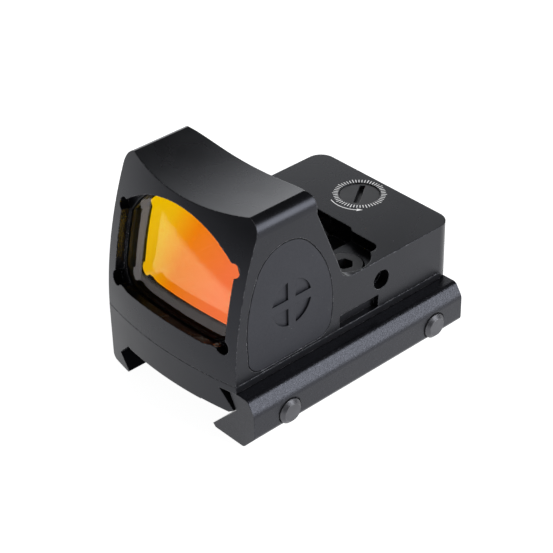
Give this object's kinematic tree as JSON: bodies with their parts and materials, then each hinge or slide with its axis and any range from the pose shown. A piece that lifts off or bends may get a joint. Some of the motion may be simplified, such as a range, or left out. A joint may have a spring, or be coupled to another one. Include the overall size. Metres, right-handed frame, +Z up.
{
  "type": "open reflex red dot sight on a low rail clamp",
  "caption": "Open reflex sight: hooded coated lens, rear deck with slotted adjusters, side rubber keys, on a low plate that clamps a dovetail rail.",
  "frame": {"origin": "centre line of the rail, on the plane of the rail's top flat (the channel's ceiling), midway between the two cross bolts", "axes": "+Z up from the rail, -Y towards the target along the rail, +X towards the clamp jaw"},
  "size_m": [0.0321, 0.0444, 0.0342],
  "materials": {
    "anodised_body": "satin black anodised",
    "anodised_base": "satin black anodised",
    "blasted_jaw": "bead blasted black anodised",
    "front_glass": "coated glass, amber reflection",
    "rear_glass": "clear glass",
    "clear_glass": "clear glass",
    "bond": "black resin",
    "pad_rubber": "moulded silicone rubber",
    "switch_plastic": "switch body",
    "black_screw": "black oxide steel",
    "bolt_steel": "dark plated steel",
    "seal_rubber": "nitrile",
    "spring_steel": "bright steel",
    "brass": "machined brass",
    "contact_brass": "plated strip",
    "carrier_alloy": "machined alloy",
    "led": "emitter package",
    "board": "solder mask",
    "flex": "polyimide film",
    "cell_steel": "nickel plated",
    "cover_steel": "rolled sheet",
    "cover_black": "black sheet"
  },
  "bodies": {
    "sight": {"housing": "anodised_body", "lens_front_element": "front_glass", "lens_rear_element": "rear_glass", "lens_bond": "bond", "plus_switch": "switch_plastic", "minus_switch": "switch_plastic", "elevation_oring": "seal_rubber", "elevation_spring": "spring_steel", "windage_oring": "seal_rubber", "windage_spring": "spring_steel", "guide_rod": "spring_steel", "emitter_window": "clear_glass", "detent_balls": "spring_steel", "detent_springs": "spring_steel", "circuit_board": "board", "flex_cable": "flex", "battery": "cell_steel", "battery_contacts": "contact_brass", "battery_cover": "cover_steel", "battery_gasket": "seal_rubber", "adjuster_cover": "cover_black", "mounting_screws": "black_screw", "rail_base": "anodised_base", "jaw_springs": "spring_steel"},
    "plus_key": {"plus_button": "pad_rubber"},
    "minus_key": {"minus_button": "pad_rubber"},
    "elevation_adjuster": {"elevation_screw": "black_screw", "elevation_clip": "spring_steel"},
    "elevation_drive": {"elevation_nut": "brass"},
    "elevation_slide": {"elevation_carrier": "carrier_alloy", "led_emitter": "led"},
    "windage_adjuster": {"windage_screw": "black_screw", "windage_clip": "spring_steel"},
    "windage_slide": {"windage_carriage": "brass"},
    "front_bolt": {"cross_bolt_front": "bolt_steel"},
    "rear_bolt": {"cross_bolt_rear": "bolt_steel"},
    "jaw": {"clamp_jaw": "blasted_jaw"}
  },
  "joints": [
    {"name": "plus_key_press", "type": "slide", "parent": "sight", "child": "plus_key", "axis": [-1, 0, 0], "range_m": [0, 0.00035], "stiffness_N_per_m": 600},
    {"name": "minus_key_press", "type": "slide", "parent": "sight", "child": "minus_key", "axis": [1, 0, 0], "range_m": [0, 0.00035], "stiffness_N_per_m": 600},
    {"name": "elevation_nut_slide", "type": "slide", "parent": "sight", "child": "elevation_drive", "axis": [0, 0, 1], "range_m": [-0.000237, 0.000237], "deforming": ["elevation_spring"]},
    {"name": "elevation_turn", "type": "hinge", "parent": "sight", "child": "elevation_adjuster", "pos_m": [-0.0004, 0.01692, 0.0121], "axis": [0, 0, 1], "range_deg": [-190, 190]},
    {"name": "elevation_carrier_slide", "type": "slide", "parent": "windage_slide", "child": "elevation_slide", "axis": [0, 0, 1], "range_m": [-0.000237, 0.000237]},
    {"name": "windage_carriage_slide", "type": "slide", "parent": "sight", "child": "windage_slide", "axis": [1, 0, 0], "range_m": [-0.000237, 0.000237]},
    {"name": "windage_turn", "type": "hinge", "parent": "sight", "child": "windage_adjuster", "pos_m": [-0.0126, 0.01202, 0.0091], "axis": [-1, 0, 0], "range_deg": [-190, 190]},
    {"name": "jaw_slide", "type": "slide", "parent": "sight", "child": "jaw", "axis": [1, 0, 0], "range_m": [0, 0.0022]},
    {"name": "front_bolt_turn", "type": "hinge", "parent": "sight", "child": "front_bolt", "pos_m": [-0.0126, -0.01452, -0.00075], "axis": [-1, 0, 0], "range_deg": [0, 1132]},
    {"name": "rear_bolt_turn", "type": "hinge", "parent": "sight", "child": "rear_bolt", "pos_m": [-0.0126, 0.01452, -0.00075], "axis": [-1, 0, 0], "range_deg": [0, 1132]}
  ],
  "couplings": [
    {"joint": "elevation_turn", "follows": "elevation_nut_slide", "rad_per_m": -13963},
    {"joint": "elevation_carrier_slide", "follows": "elevation_nut_slide", "ratio": 1},
    {"joint": "windage_turn", "follows": "windage_carriage_slide", "rad_per_m": 13963},
    {"joint": "front_bolt_turn", "follows": "jaw_slide", "rad_per_m": 8975.9},
    {"joint": "rear_bolt_turn", "follows": "jaw_slide", "rad_per_m": 8975.9}
  ]
}
